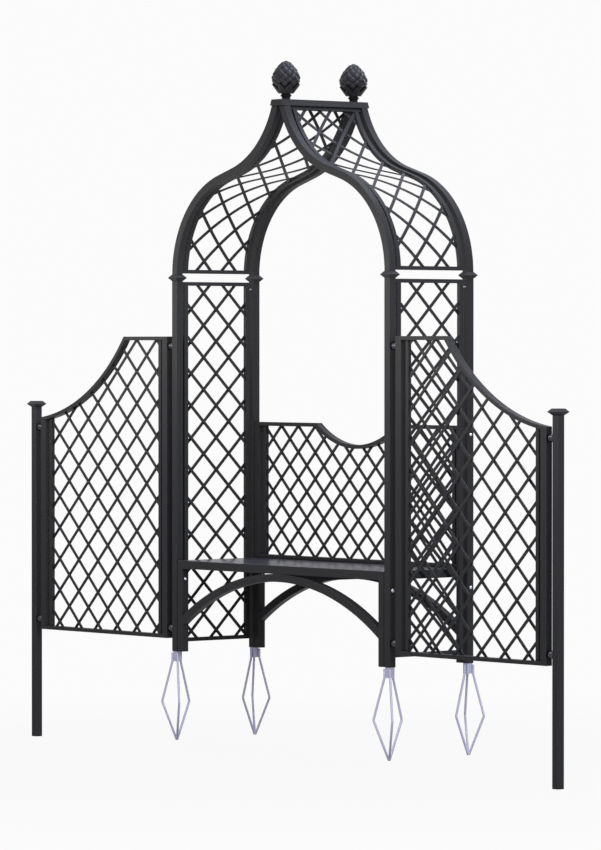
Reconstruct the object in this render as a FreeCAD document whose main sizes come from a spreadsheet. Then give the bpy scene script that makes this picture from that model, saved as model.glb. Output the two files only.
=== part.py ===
import FreeCAD, Part
import math
import os
import re
from FreeCAD import Placement, Rotation, Vector

# Rose arch with a bench and two trellis wings, in millimetres.
# +X runs along the wings, +Y from front to back, +Z up.
# The origin is on the ground, in the middle of the four arch posts.

doc = FreeCAD.newDocument("RoseArch")
nodes = []

# Driving sizes

sizes = {
    # square tubes, rails and lattice bars
    "post_size": 40,
    "post_wall": 3,
    "frame_wall": 2,
    "rail_height": 20,
    "stile_reach": 45,
    "stile_width": 22,
    "side_stile_width": 25,
    "stile_thickness": 20,
    "lattice_width": 16,
    "lattice_thickness": 5,
    "lattice_pitch": 169,
    "spigot_clearance": 0.5,
    "overcut": 5,
    # arch posts, collars and ogee tubes
    "arch_width": 1700,
    "arch_depth": 520,
    "joint_height": 1956,
    "collar_width": 72,
    "collar_height": 32,
    "collar_lip": 1.5,
    "sleeve_length": 80,
    "shoulder_radius": 512,
    "slope_length": 122,
    "sweep_radius": 517,
    "ridge_height": 2827,
    "ridge_spacing": 60,
    "ridge_clearance": 0.5,
    # ridge cap and finials
    "cap_width": 105,
    "cap_top_width": 80,
    "cap_thickness": 31,
    "cap_overhang": 10,
    "cap_wall": 3,
    "drain_spacing": 200,
    "drain_diameter": 10,
    "finial_inset": 63.5,
    "finial_height": 200,
    "finial_neck": 44,
    "finial_ring": 58,
    "finial_ring_height": 20,
    "finial_base": 79,
    "finial_base_height": 31,
    "finial_flare": 155,
    "finial_flare_height": 78,
    "finial_width": 146,
    "finial_lip": 3,
    "finial_rows": 5,
    "finial_stud": 10,
    "finial_stud_length": 22,
    # roof and side panels
    "roof_gap": 7,
    "roof_pitch": 174.8,
    "roof_cross_rise": 158,
    "side_base": 48,
    "side_top_gap": 5,
    "side_cross_rise": 32.6,
    # wings and end posts
    "wing_tube": 40,
    "wing_gap": 45,
    "wing_length": 1100,
    "wing_base": 65,
    "wing_top": 1649,
    "wing_low": 1214,
    "wing_flat": 372,
    "wing_curve_radius": 1061,
    "wing_cross_reach": 449,
    "wing_cross_rise": 114.4,
    "end_post_depth": 522,
    "end_post_height": 1285,
    "end_cap_skirt": 16,
    "end_cap_width": 78,
    "end_cap_rise": 16,
    "end_cap_flat": 48,
    # ball spacers between the posts and the wings
    "ball_neck_diameter": 17,
    "ball_neck_length": 3.3,
    "ball_low": 120,
    "ball_near_drop": 49,
    "ball_far_drop": 54,
    "stud_diameter": 8,
    "stud_grip": 8,
    "hole_clearance": 0.4,
    # bench
    "bench_tube": 40,
    "bench_gap": 5,
    "foot_plate": 3,
    "seat_height": 477,
    "seat_thickness": 3,
    "brace_depth": 40,
    "brace_foot": 140,
    "brace_clearance": 0.3,
    "back_height": 1197,
    "dip_half_width": 316,
    "dip_depth": 110,
    "back_pitch": 138.3,
    "back_cross_rise": 58.3,
    # bolts
    "bolt_diameter": 8,
    "bolt_head": 17,
    "bolt_head_height": 7,
    "bolt_head_top": 9,
    "bench_bolt_drop": 52,
    "back_bolt_drop": 44,
    "washer_diameter": 18,
    "panel_spacer_drop": 17,
    "panel_spacer_diameter": 15,
    # ground anchors
    "anchor_insert": 100,
    "anchor_drop": 53,
    "anchor_rod": 12,
    "anchor_rod_top": 8,
    "anchor_rod_sink": 1,
    "anchor_shift": 4.5,
    "anchor_spread": 83,
    "anchor_spread_drop": 266,
    "anchor_tip": 2,
    "anchor_tip_drop": 464,
    "anchor_bend": 18,
}

# Sizes that follow from the driving ones

derived = {
    "post_x": "arch_width / 2",
    "post_y": "arch_depth / 2",
    "post_inner_x": "post_x - post_size / 2",
    "post_outer_x": "post_x + post_size / 2",
    "post_inner_y": "post_y - post_size / 2",
    "post_outer_y": "post_y + post_size / 2",
    "bore_size": "post_size - 2 * post_wall",
    "spigot_size": "bore_size - 2 * spigot_clearance",
    "collar_low": "joint_height - collar_height / 2",
    "spring_height": "joint_height + collar_height / 2",
    "field_y": "post_inner_y - stile_reach",
    "side_stile_y": "field_y + side_stile_width",
    "side_rail_top": "side_base + rail_height",
    "side_head_top": "collar_low - side_top_gap",
    "side_head_low": "side_head_top - rail_height",
    "roof_rail_low": "spring_height + roof_gap",
    "roof_rail_top": "roof_rail_low + rail_height",
    "roof_head_low": "ridge_height - rail_height",
    "cap_top": "ridge_height + cap_thickness",
    "cap_half_length": "post_outer_y + cap_overhang",
    "finial_y": "cap_half_length - finial_inset",
    "wing_near": "post_outer_x + wing_gap",
    "wing_far": "wing_near + wing_length",
    "wing_inside_near": "wing_near + wing_tube",
    "wing_inside_far": "wing_far - wing_tube",
    "wing_field_near": "wing_inside_near + stile_reach",
    "wing_field_far": "wing_inside_far - stile_reach",
    "wing_rail_top": "wing_base + rail_height",
    "wing_head_low": "wing_top - rail_height",
    "wing_chord_x": "wing_length - wing_flat",
    "wing_chord_z": "wing_low - wing_top",
    "wing_chord": "sqrt(wing_chord_x ^ 2 + wing_chord_z ^ 2)",
    "wing_reach": "sqrt(wing_curve_radius ^ 2 - wing_chord ^ 2 / 4)",
    "wing_centre_x": "wing_far - wing_chord_x / 2 - wing_reach * wing_chord_z / wing_chord",
    "wing_centre_z": "wing_low - wing_chord_z / 2 + wing_reach * wing_chord_x / wing_chord",
    "wing_under_radius": "wing_curve_radius + rail_height",
    "end_post_x": "wing_far + wing_gap + post_size / 2",
    "end_cap_low": "end_post_height - end_cap_skirt",
    "ball_near_high": "wing_top - ball_near_drop",
    "ball_far_high": "min(wing_low; end_cap_low) - ball_far_drop",
    "leg_outer": "post_inner_x - bench_gap",
    "leg_inner": "leg_outer - bench_tube",
    "bench_front": "-post_y - bench_tube / 2",
    "bench_front_in": "-post_y + bench_tube / 2",
    "bench_back_in": "post_y - bench_tube / 2",
    "bench_back": "post_y + bench_tube / 2",
    "seat_under": "seat_height - seat_thickness",
    "seat_rail_low": "seat_under - bench_tube",
    "brace_top": "seat_rail_low - brace_clearance",
    "brace_crown": "brace_top - brace_depth",
    "tie_half": "bench_tube / 2",
    "back_rail_top": "seat_height + rail_height",
    "back_head_low": "back_height - rail_height",
    "back_field": "leg_inner - stile_reach",
    "bench_bolt_height": "seat_rail_low - bench_bolt_drop",
    "back_bolt_height": "back_height - back_bolt_drop",
    "panel_spacer_height": "side_head_low - panel_spacer_drop",
}

sheet = doc.addObject("Spreadsheet::Sheet", "Sizes")
for row, (alias, number) in enumerate(sizes.items(), start=1):
    sheet.set(f"A{row}", alias.replace("_", " "))
    sheet.set(f"B{row}", str(number))
    sheet.setAlias(f"B{row}", alias)
doc.recompute()


def formula(text):
    # Writes out the derived names and points every driving name at its cell.
    def cell(match):
        word = match.group()
        if word in derived:
            return "(" + formula(derived[word]) + ")"
        if word in sizes:
            return "Sizes." + word
        return word

    return re.sub(r"[a-z_]+", cell, text)


def value(text):
    return float(sheet.evalExpression(formula(text)))


# Building blocks

def node(piece, label):
    piece.Label = label
    nodes.append(piece)
    return piece


def about(centre, width):
    return (f"{centre} - {width} / 2", f"{centre} + {width} / 2")


def block(name, x, y, z):
    piece = doc.addObject("Part::Box", name)
    for axis, side, (low, high) in zip("xyz", ("Length", "Width", "Height"), (x, y, z)):
        piece.setExpression(side, formula(f"({high}) - ({low})"))
        piece.setExpression("Placement.Base." + axis, formula(low))
    return piece


def cut(name, base, *tools):
    piece = doc.addObject("Part::Cut", name)
    piece.Base = base
    piece.Tool = tools[0] if len(tools) == 1 else group(name + "_tools", tools)
    return piece


def fuse(name, shapes):
    piece = doc.addObject("Part::MultiFuse", name)
    piece.Shapes = list(shapes)
    return piece


def group(name, shapes):
    piece = doc.addObject("Part::Compound", name)
    piece.Links = list(shapes)
    return piece


def mirror(name, source, normal):
    piece = doc.addObject("Part::Mirroring", name)
    piece.Source = source
    piece.Normal = normal
    return piece


def solid(name, shape):
    piece = doc.addObject("Part::Feature", name)
    piece.Shape = shape
    piece.Placement = Placement()
    return piece


def bore_span(span, foot, head):
    # The length of a bore: it stops short of a plate and runs past an open end.
    low, high = span
    start = f"{low} + {foot}" if foot else f"{low} - overcut"
    end = f"{high} - {head}" if head else f"{high} + overcut"
    return start, end


def tube(name, x, y, z, along, wall="frame_wall", foot=None, head=None, holes=()):
    # A rectangular tube along one axis. A foot plate closes its low end, a head plate its high end.
    outer = block(name + "_outside", x, y, z)
    spans = []
    for letter, span in zip("xyz", (x, y, z)):
        ends = (foot, head) if letter == along else (wall, wall)
        spans.append(bore_span(span, *ends))
    bore = block(name + "_bore", *spans)
    return cut(name, outer, bore, *holes)


def round_bar(name, x, y, z, radius):
    # A round bar along X or along Y, whichever is given as a span.
    along_y = isinstance(y, tuple)
    low, high = y if along_y else x
    turn = Rotation(Vector(1, 0, 0), -90) if along_y else Rotation(Vector(0, 1, 0), 90)
    piece = doc.addObject("Part::Cylinder", name)
    piece.Placement = Placement(Vector(), turn)
    piece.setExpression("Radius", formula(radius))
    piece.setExpression("Height", formula(f"({high}) - ({low})"))
    for axis, at in zip("xyz", (x, low, z) if along_y else (low, y, z)):
        piece.setExpression("Placement.Base." + axis, formula(at))
    return piece


def frustum(name, centre, z, low_size, high_size):
    # A four-sided block whose plan changes from one size to another as it rises.
    piece = doc.addObject("Part::Wedge", name)
    piece.Placement = Placement(Vector(), Rotation(Vector(1, 0, 0), 90))
    for letter, low, high in zip("XZ", low_size, high_size):
        piece.setExpression(letter + "min", formula(f"-({low}) / 2"))
        piece.setExpression(letter + "max", formula(f"({low}) / 2"))
        piece.setExpression(letter + "2min", formula(f"-({high}) / 2"))
        piece.setExpression(letter + "2max", formula(f"({high}) / 2"))
    piece.setExpression("Ymin", formula("0"))
    piece.setExpression("Ymax", formula(f"({z[1]}) - ({z[0]})"))
    for axis, at in zip("xyz", (*centre, z[0])):
        piece.setExpression("Placement.Base." + axis, formula(at))
    return piece


def extruded(name, face, y):
    # Extrudes an upright outline, drawn at the low end of y, to the high end.
    low, high = y
    outline = solid(name + "_outline", face)
    piece = doc.addObject("Part::Extrusion", name)
    piece.Base = outline
    piece.DirMode = "Custom"
    piece.Dir = Vector(0, 1, 0)
    piece.Solid = True
    piece.setExpression("LengthFwd", formula(f"({high}) - ({low})"))
    return piece


def at(x, z, y=0.0):
    return Vector(x, y, z)


def line(start, end):
    return Part.LineSegment(start, end).toShape()


def arc(start, middle, end):
    return Part.Arc(start, middle, end).toShape()


def face_of(edges):
    return Part.Face(Part.Wire(Part.__sortEdges__(edges)))


def on_circle(centre, radius, angle):
    return centre + Vector(radius * math.cos(angle), 0, radius * math.sin(angle))


def slab(start, end, normal, width, height, spare):
    # A straight block around the line from start to end, wide along the surface.
    along = end - start
    length = along.Length + 2 * spare
    across = normal.cross(along)
    turn = Rotation(along, across, along.cross(across), "XZY")
    shape = Part.makeBox(length, width, height)
    shape.Placement = Placement((start + end) / 2, turn) * Placement(
        Vector(-length / 2, -width / 2, -height / 2), Rotation())
    return shape


def welded(name, layers):
    # Cuts each layer's bars to its sheet and joins all of them into one grid.
    bars = []
    for sheet_shape, slabs in layers:
        for bar in slabs:
            bars += sheet_shape.common(bar).Solids
    return solid(name, bars[0].multiFuse(bars[1:]).removeSplitter())


# Flat lattice

def diagonals(u_span, v_span, cross, pitch, lean):
    # End points of the bars that lean one way, right across a rectangle.
    corners = [v - lean * u for u in u_span for v in v_span]
    start = cross[1] - lean * cross[0]
    first = math.ceil((min(corners) - start) / pitch)
    last = math.floor((max(corners) - start) / pitch)
    ends = []
    for number in range(first, last + 1):
        rise = start + number * pitch
        ends.append([(u, rise + lean * u) for u in u_span])
    return ends


def flat_lattice(name, face, normal, place, u_span, v_span, cross, pitch):
    # Two layers of flat bars, one leaning each way, welded where they touch.
    thickness = value("lattice_thickness")
    layers = []
    for lean in (1, -1):
        sheet_shape = face.extrude(normal * thickness * lean)
        bars = []
        for first, last in diagonals(u_span, v_span, cross, pitch, lean):
            bars.append(slab(place(*first), place(*last), normal, value("lattice_width"),
                             4 * thickness, value("stile_reach")))
        layers.append((sheet_shape, bars))
    return welded(name, layers)


# Arch posts, collars and the sleeves inside the joints

def post(name, y_sign, holes):
    piece = tube(name, about("post_x", "post_size"), about(f"{y_sign} * post_y", "post_size"),
                 ("0", "joint_height"), "z", wall="post_wall", holes=holes)
    node(piece, name)
    node(mirror(name.replace("right", "left"), piece, Vector(1, 0, 0)), name.replace("right", "left"))


def clear_hole(name, x, y, z, diameter):
    return round_bar(name, x, y, z, f"{diameter} / 2 + hole_clearance / 2")


post_through = ("post_inner_x - overcut", "post_outer_x + overcut")
post_outside = ("post_x", "post_outer_x + overcut")
front_holes = [
    clear_hole("post_front_bench_hole", post_through, "-post_y", "bench_bolt_height", "bolt_diameter"),
    clear_hole("post_front_low_hole", post_outside, "-post_y", "ball_low", "stud_diameter"),
    clear_hole("post_front_high_hole", post_outside, "-post_y", "ball_near_high", "stud_diameter"),
]
back_holes = [
    clear_hole("post_back_bench_hole", post_through, "post_y", "bench_bolt_height", "bolt_diameter"),
    clear_hole("post_back_rest_hole", post_through, "post_y", "back_bolt_height", "bolt_diameter"),
    clear_hole("post_back_panel_hole", "post_x", ("post_inner_y - overcut", "post_y"), "panel_spacer_height",
               "bolt_diameter"),
]
post("post_front_right", -1, front_holes)
post("post_back_right", 1, back_holes)


def four_corners(name, piece):
    # The same piece at every arch post.
    right = group(name + "_right", [piece, mirror(name + "_back", piece, Vector(0, 1, 0))])
    return node(group(name, [right, mirror(name + "_left", right, Vector(1, 0, 0))]), name)


corner = ("post_x", "-post_y")
collar_edge = "post_size + 2 * collar_lip"
collar_body = fuse("collar_body", [
    frustum("collar_lower", corner, ("collar_low", "joint_height"),
            [collar_edge] * 2, ["collar_width"] * 2),
    frustum("collar_upper", corner, ("joint_height", "spring_height"),
            ["collar_width"] * 2, [collar_edge] * 2),
])
collar_hole = block("collar_hole", about("post_x", "post_size"), about("-post_y", "post_size"),
                    ("collar_low - overcut", "spring_height + overcut"))
four_corners("post_collars", cut("collar", collar_body, collar_hole))
four_corners("joint_sleeves", tube("sleeve", about("post_x", "spigot_size"), about("-post_y", "spigot_size"),
                                   ("joint_height - sleeve_length", "spring_height"), "z"))


# Ogee line of the roof: a shoulder arc, a straight slope and a sweep up to the ridge

spring = value("spring_height")
shoulder = value("shoulder_radius")
slope = value("slope_length")
sweep = value("sweep_radius")
shoulder_centre = at(value("post_x") - shoulder, spring)
ridge_point = at(value("ridge_spacing") / 2, value("ridge_height"))
to_ridge = ridge_point - shoulder_centre
centre_gap = math.hypot(shoulder + sweep, slope)
ridge_angle = math.atan2(to_ridge.z, to_ridge.x)
cosine = (centre_gap ** 2 + to_ridge.Length ** 2 - sweep ** 2) / (2 * centre_gap * to_ridge.Length)
shoulder_turn = ridge_angle - math.acos(cosine) - math.atan2(slope, shoulder + sweep)
slope_way = Vector(-math.sin(shoulder_turn), 0, math.cos(shoulder_turn))
sweep_centre = on_circle(shoulder_centre, shoulder + sweep, shoulder_turn) + slope_way * slope


def ogee_edges(offset, low, high, y):
    # The ogee line moved outwards by an offset, between two heights.
    drop = Vector(0, y, 0)
    outer = shoulder + offset
    inner = -(sweep - offset)
    end_angle = math.asin((sweep_centre.z - high) / -inner)
    slope_start = on_circle(shoulder_centre, outer, shoulder_turn)
    slope_end = slope_start + slope_way * slope
    edges = []
    if low < slope_start.z:
        begin = 0.0
        if low < spring:
            foot = on_circle(shoulder_centre, outer, 0.0)
            edges.append(line(at(foot.x, low, y), foot + drop))
        else:
            begin = math.asin((low - spring) / outer)
        arc_points = [on_circle(shoulder_centre, outer, angle) + drop
                      for angle in (begin, (begin + shoulder_turn) / 2, shoulder_turn)]
        edges.append(arc(*arc_points))
        edges.append(line(slope_start + drop, slope_end + drop))
        begin = shoulder_turn
    else:
        begin = math.asin((sweep_centre.z - low) / -inner)
    arc_points = [on_circle(sweep_centre, inner, angle) + drop
                  for angle in (begin, (begin + end_angle) / 2, end_angle)]
    edges.append(arc(*arc_points))
    return edges


def ogee_band(inside, outside, low, high, y):
    # The area between two lines beside the ogee, cut level at both ends.
    near = ogee_edges(inside, low, high, y)
    far = ogee_edges(outside, low, high, y)
    foot = line(near[0].firstVertex().Point, far[0].firstVertex().Point)
    head = line(near[-1].lastVertex().Point, far[-1].lastVertex().Point)
    return face_of(near + far + [foot, head])


# Both halves of the roof stop at this block around the middle plane.
mitre_half = value("ridge_clearance")
ridge_mitre = solid("ridge_mitre", Part.makeBox(
    value("post_x") + mitre_half, value("2 * arch_depth"), value("ridge_height"),
    Vector(-value("post_x"), -value("arch_depth"), spring)))


def ogee_bar(name, half, low, high, y):
    return extruded(name, ogee_band(-half, half, value(low), value(high), value(y[0])), y)


def ogee_tube(name, width, low, high, y, wall):
    half = value(width) / 2
    outer = ogee_bar(name + "_outside", half, low, high, y)
    bore_y = (f"{y[0]} + {wall}", f"{y[1]} - {wall}")
    bore = ogee_bar(name + "_bore", half - value(wall), low, high, bore_y)
    return cut(name, outer, bore, ridge_mitre)


front_tube = node(ogee_tube("arch_tube_front_right", "post_size", "joint_height", "ridge_height",
                            ("-post_outer_y", "-post_inner_y"), "post_wall"), "arch_tube_front_right")
node(mirror("arch_tube_front_left", front_tube, Vector(1, 0, 0)), "arch_tube_front_left")
back_tube = node(mirror("arch_tube_back_right", front_tube, Vector(0, 1, 0)), "arch_tube_back_right")
node(mirror("arch_tube_back_left", back_tube, Vector(1, 0, 0)), "arch_tube_back_left")


# Ridge cap: a closed box with drain holes below and threaded holes for the finials

def upright_hole(name, y, z, diameter):
    piece = doc.addObject("Part::Cylinder", name)
    piece.setExpression("Radius", formula(f"{diameter} / 2"))
    piece.setExpression("Height", formula(f"({z[1]}) - ({z[0]})"))
    piece.setExpression("Placement.Base.y", formula(y))
    piece.setExpression("Placement.Base.z", formula(z[0]))
    return piece


ridge = ("0", "0")
cap_outside = frustum("cap_outside", ridge, ("ridge_height", "cap_top"),
                      ("cap_width", "2 * cap_half_length"), ("cap_top_width", "2 * cap_half_length"))
cap_inside = frustum("cap_inside", ridge, ("ridge_height + cap_wall", "cap_top - cap_wall"),
                     ("cap_width - 4 * cap_wall", "2 * cap_half_length - 2 * cap_wall"),
                     ("cap_top_width - 2 * cap_wall", "2 * cap_half_length - 2 * cap_wall"))
floor_plate = ("ridge_height - overcut", "ridge_height + 2 * cap_wall")
top_plate = ("cap_top - 2 * cap_wall", "cap_top + overcut")
cap_holes = []
for place, sign in (("front", "-1"), ("back", "1")):
    cap_holes.append(upright_hole(f"cap_drain_{place}", f"{sign} * drain_spacing / 2", floor_plate,
                                  "drain_diameter"))
    cap_holes.append(upright_hole(f"cap_thread_{place}", f"{sign} * finial_y", top_plate, "finial_stud"))
cap_cavity = fuse("cap_cavity", [cap_inside] + cap_holes)
node(cut("ridge_cap", cap_outside, cap_cavity), "ridge_cap")


# Finials: a turned neck and ring under a cone of overlapping scale rows

def finial_profile():
    base = value("cap_top")
    y = value("finial_y")
    top = value("finial_height")
    neck = value("finial_neck") / 2
    ring_height = value("finial_ring_height")
    foot_height = value("finial_base_height")
    ring_half = foot_height - ring_height
    flare_height = value("finial_flare_height")
    lip = value("finial_lip")
    rows = int(value("finial_rows"))
    stud = value("finial_stud") / 2
    points = [(0, -value("finial_stud_length")), (stud, -value("finial_stud_length")), (stud, 0), (neck, 0),
              (neck, ring_height - ring_half / 2), (value("finial_ring") / 2, ring_height),
              (neck, ring_height + ring_half / 2), (neck, foot_height),
              (value("finial_base") / 2, foot_height), (value("finial_flare") / 2, flare_height)]
    rise = (top - flare_height) / rows
    for row in range(rows):
        # Each row of scales leans out from the egg's line and ends in a lip.
        for height, proud in ((row * rise, 0.0), ((row + 1) * rise, lip)):
            share = height / (top - flare_height)
            radius = value("finial_width") / 2 * math.cos(share * math.pi / 2) ** 0.75
            points.append((max(radius + proud, 0.0), flare_height + height))
    points[-1] = (0, top)
    corners = [Vector(radius, y, base + height) for radius, height in points]
    return Part.Face(Part.makePolygon(corners + corners[:1]))


finial = doc.addObject("Part::Revolution", "finial_back")
finial.Source = solid("finial_profile", finial_profile())
finial.Axis = Vector(0, 0, 1)
finial.setExpression("Base.y", formula("finial_y"))
finial.Angle = 360
finial.Solid = True
node(finial, "finial_back")
node(mirror("finial_front", finial, Vector(0, 1, 0)), "finial_front")


def both_sides(name, piece):
    # A piece on the right and its mirror image on the left, each in its own node.
    node(piece, name + "_right")
    node(mirror(name + "_left", piece, Vector(1, 0, 0)), name + "_left")


# Roof panels between the front and back ogee tubes

# The panels meet the front posts and stop short of the back ones, apart from the ridge.
across = ("-post_inner_y", "post_inner_y")
rail_reach = ("-post_inner_y", "side_stile_y")
front_stile_y = ("-side_stile_y", "-field_y")
back_stile_y = ("field_y", "side_stile_y")
roof_stiles = [ogee_tube(f"roof_stile_{place}", "stile_thickness", "roof_rail_top", "roof_head_low", span,
                         "frame_wall") for place, span in (("front", front_stile_y), ("back", back_stile_y))]
both_sides("roof_stiles", group("roof_stiles_right", roof_stiles))

roof_low_rail = tube("roof_low_rail", about("post_x", "stile_thickness"), rail_reach,
                     ("roof_rail_low", "roof_rail_top"), "y")
head_half = value("stile_thickness") / 2
roof_head_outside = ogee_bar("roof_head_outside", head_half, "roof_head_low", "ridge_height", across)
roof_head_bore = ogee_bar("roof_head_bore", head_half - value("frame_wall"), "roof_head_low + frame_wall",
                          "ridge_height - frame_wall", ("-post_inner_y - overcut", "post_inner_y + overcut"))
roof_head_rail = cut("roof_head_rail", roof_head_outside, roof_head_bore, ridge_mitre)
both_sides("roof_rails", group("roof_rails_right", [roof_low_rail, roof_head_rail]))


def ogee_place(run):
    # The point and outward normal after a length of run from the spring line.
    turned = run / shoulder
    if turned < shoulder_turn:
        return on_circle(shoulder_centre, shoulder, turned), turned
    past = run - shoulder * shoulder_turn
    start = on_circle(shoulder_centre, shoulder, shoulder_turn)
    if past < slope:
        return start + slope_way * past, shoulder_turn
    angle = shoulder_turn - (past - slope) / sweep
    return on_circle(sweep_centre, -sweep, angle), angle


def roof_bars(lean):
    # Bars bent over the ogee, as short straight pieces from crossing to crossing.
    step = value("lattice_pitch") / 2
    climb = value("roof_pitch") / 2
    start = value("roof_cross_rise")
    width = value("lattice_width")
    end_angle = math.asin((sweep_centre.z - value("roof_head_low")) / sweep)
    length = shoulder * shoulder_turn + slope + sweep * (shoulder_turn - end_angle)
    half = math.ceil(value("field_y") / step)
    rows = math.ceil(length / climb)
    bars = []
    for row in range(-half, rows + half):
        for column in range(-half, half):
            if (row + column) % 2:
                continue
            runs = [start + row * climb, start + (row + 1) * climb]
            if runs[1] < 0 or runs[0] > length:
                continue
            ends = []
            angles = []
            for run, side in zip(runs, (column, column + 1)):
                point, angle = ogee_place(max(run, 0.0))
                ends.append(point + Vector(0, lean * side * step, min(run, 0.0)))
                angles.append(angle)
            normal = on_circle(Vector(), 1.0, sum(angles) / 2)
            bars.append(slab(ends[0], ends[1], normal, width, width, width / 10))
    return bars


def roof_lattice():
    thickness = value("lattice_thickness")
    width = value("field_y") * 2
    layers = []
    for lean, inside in ((1, 0.0), (-1, -thickness)):
        band = ogee_band(inside, inside + thickness, value("roof_rail_top"), value("roof_head_low"),
                         -value("field_y"))
        layers.append((band.extrude(Vector(0, width, 0)).cut(ridge_mitre.Shape), roof_bars(lean)))
    return welded("roof_lattice_right", layers)


both_sides("roof_lattice", roof_lattice())


# Side panels between the front and back posts

panel_x = about("post_x", "stile_thickness")
panel_z = ("side_rail_top", "side_head_low")
stile_wall = ("side_stile_y - side_stile_width / 2", "side_stile_y + overcut")
stile_hole = clear_hole("side_stile_hole", "post_x", stile_wall, "panel_spacer_height", "bolt_diameter")
side_stiles = [tube("side_stile_front", panel_x, front_stile_y, panel_z, "z"),
               tube("side_stile_back", panel_x, back_stile_y, panel_z, "z", holes=[stile_hole])]
both_sides("side_stiles", group("side_stiles_right", side_stiles))
side_rails = [tube(f"side_rail_{level}", panel_x, rail_reach, span, "y")
              for level, span in (("low", ("side_base", "side_rail_top")),
                                  ("high", ("side_head_low", "side_head_top")))]
both_sides("side_rails", group("side_rails_right", side_rails))


def side_lattice():
    x = value("post_x")
    half = value("field_y")
    low = value("side_rail_top")
    high = value("side_head_low")
    corners = [Vector(x, y, z) for y, z in ((-half, low), (half, low), (half, high), (-half, high))]
    face = Part.Face(Part.makePolygon(corners + corners[:1]))
    return flat_lattice("side_lattice_right", face, Vector(1, 0, 0), lambda y, z: Vector(x, y, z),
                        (-half, half), (low, high), (0.0, low + value("side_cross_rise")),
                        value("lattice_pitch"))


both_sides("side_lattice", side_lattice())


# Wings: a trellis frame on each side whose top sweeps down to the end post

wing_y = about("-post_y", "wing_tube")
wing_stile_y = about("-post_y", "stile_thickness")


def wing_curve_cut(name):
    # Everything above the underside of the sweeping top rail.
    piece = doc.addObject("Part::Cylinder", name)
    piece.Placement = Placement(Vector(), Rotation(Vector(1, 0, 0), 90))
    piece.setExpression("Radius", formula("wing_under_radius"))
    piece.setExpression("Height", formula("4 * wing_tube"))
    for axis, where in zip("xyz", ("wing_centre_x", "-post_y + 2 * wing_tube", "wing_centre_z")):
        piece.setExpression("Placement.Base." + axis, formula(where))
    return piece


near_upright_in = ("wing_near - overcut", "wing_near + wing_tube / 2")
near_holes = [clear_hole(f"wing_near_hole_{level}", near_upright_in, "-post_y", height, "stud_diameter")
              for level, height in (("low", "ball_low"), ("high", "ball_near_high"))]
both_sides("wing_inner_upright", tube("wing_inner_upright_right", ("wing_near", "wing_inside_near"), wing_y,
                                      ("wing_base", "wing_top"), "z", foot="frame_wall", head="frame_wall",
                                      holes=near_holes))
far_upright_in = ("wing_far - wing_tube / 2", "wing_far + overcut")
far_holes = [clear_hole(f"wing_far_hole_{level}", far_upright_in, "-post_y", height, "stud_diameter")
             for level, height in (("low", "ball_low"), ("high", "ball_far_high"))]
wing_far_tube = tube("wing_far_tube", ("wing_inside_far", "wing_far"), wing_y, ("wing_base", "wing_top"), "z",
                     foot="frame_wall", holes=far_holes)
both_sides("wing_outer_upright",
           cut("wing_outer_upright_right", wing_far_tube, wing_curve_cut("wing_far_curve")))
both_sides("wing_bottom_rail", tube("wing_bottom_rail_right", ("wing_inside_near", "wing_inside_far"), wing_y,
                                    ("wing_base", "wing_rail_top"), "x"))
wing_near_stile = tube("wing_near_stile", ("wing_field_near - stile_width", "wing_field_near"), wing_stile_y,
                       ("wing_rail_top", "wing_head_low"), "z")
wing_far_stile = cut("wing_far_stile",
                     tube("wing_far_stile_tube", ("wing_field_far", "wing_field_far + stile_width"),
                          wing_stile_y, ("wing_rail_top", "wing_top"), "z"),
                     wing_curve_cut("wing_stile_curve"))
both_sides("wing_stiles", group("wing_stiles_right", [wing_near_stile, wing_far_stile]))

wing_centre = at(value("wing_centre_x"), value("wing_centre_z"))


def wing_edge(radius, level, near, far, y):
    # One edge of the top rail: level from the arch, then sweeping down.
    corner_x = wing_centre.x - math.sqrt(radius ** 2 - (wing_centre.z - level) ** 2)
    end_z = wing_centre.z - math.sqrt(radius ** 2 - (far - wing_centre.x) ** 2)
    start_angle = math.atan2(level - wing_centre.z, corner_x - wing_centre.x)
    end_angle = math.atan2(end_z - wing_centre.z, far - wing_centre.x)
    points = [on_circle(wing_centre, radius, angle) + Vector(0, y, 0)
              for angle in (start_angle, (start_angle + end_angle) / 2, end_angle)]
    return [line(at(near, level, y), points[0]), arc(*points)]


def wing_rail_face(inset, near, far, y):
    # Outline of the top rail, or of its bore when inset by the wall.
    upper = wing_edge(value("wing_curve_radius") + inset, value("wing_top") - inset, near, far, y)
    lower = wing_edge(value("wing_under_radius") - inset, value("wing_head_low") + inset, near, far, y)
    ends = [line(upper[0].firstVertex().Point, lower[0].firstVertex().Point),
            line(upper[-1].lastVertex().Point, lower[-1].lastVertex().Point)]
    return face_of(upper + lower + ends)


def wing_top_rail():
    near = value("wing_inside_near")
    far = value("wing_far")
    wall = value("frame_wall")
    bore_y = (f"{wing_y[0]} + frame_wall", f"{wing_y[1]} - frame_wall")
    outer = extruded("wing_top_outside", wing_rail_face(0.0, near, far, value(wing_y[0])), wing_y)
    bore = extruded("wing_top_bore", wing_rail_face(wall, near - wall, far - wall, value(bore_y[0])), bore_y)
    return cut("wing_top_rail_right", outer, bore)


both_sides("wing_top_rail", wing_top_rail())


def wing_lattice():
    y = -value("post_y")
    near = value("wing_field_near")
    far = value("wing_field_far")
    low = value("wing_rail_top")
    high = value("wing_head_low")
    upper = wing_edge(value("wing_under_radius"), high, near, far, y)
    end = upper[-1].lastVertex().Point
    edges = upper + [line(at(near, high, y), at(near, low, y)), line(at(near, low, y), at(far, low, y)),
                     line(at(far, low, y), end)]
    cross = (near + value("wing_cross_reach"), low + value("wing_cross_rise"))
    return flat_lattice("wing_lattice_right", face_of(edges), Vector(0, -1, 0), lambda x, z: at(x, z, y),
                        (near, far), (low, high), cross, value("lattice_pitch"))


both_sides("wing_lattice", wing_lattice())


# End posts, set in the ground, and their caps

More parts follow.
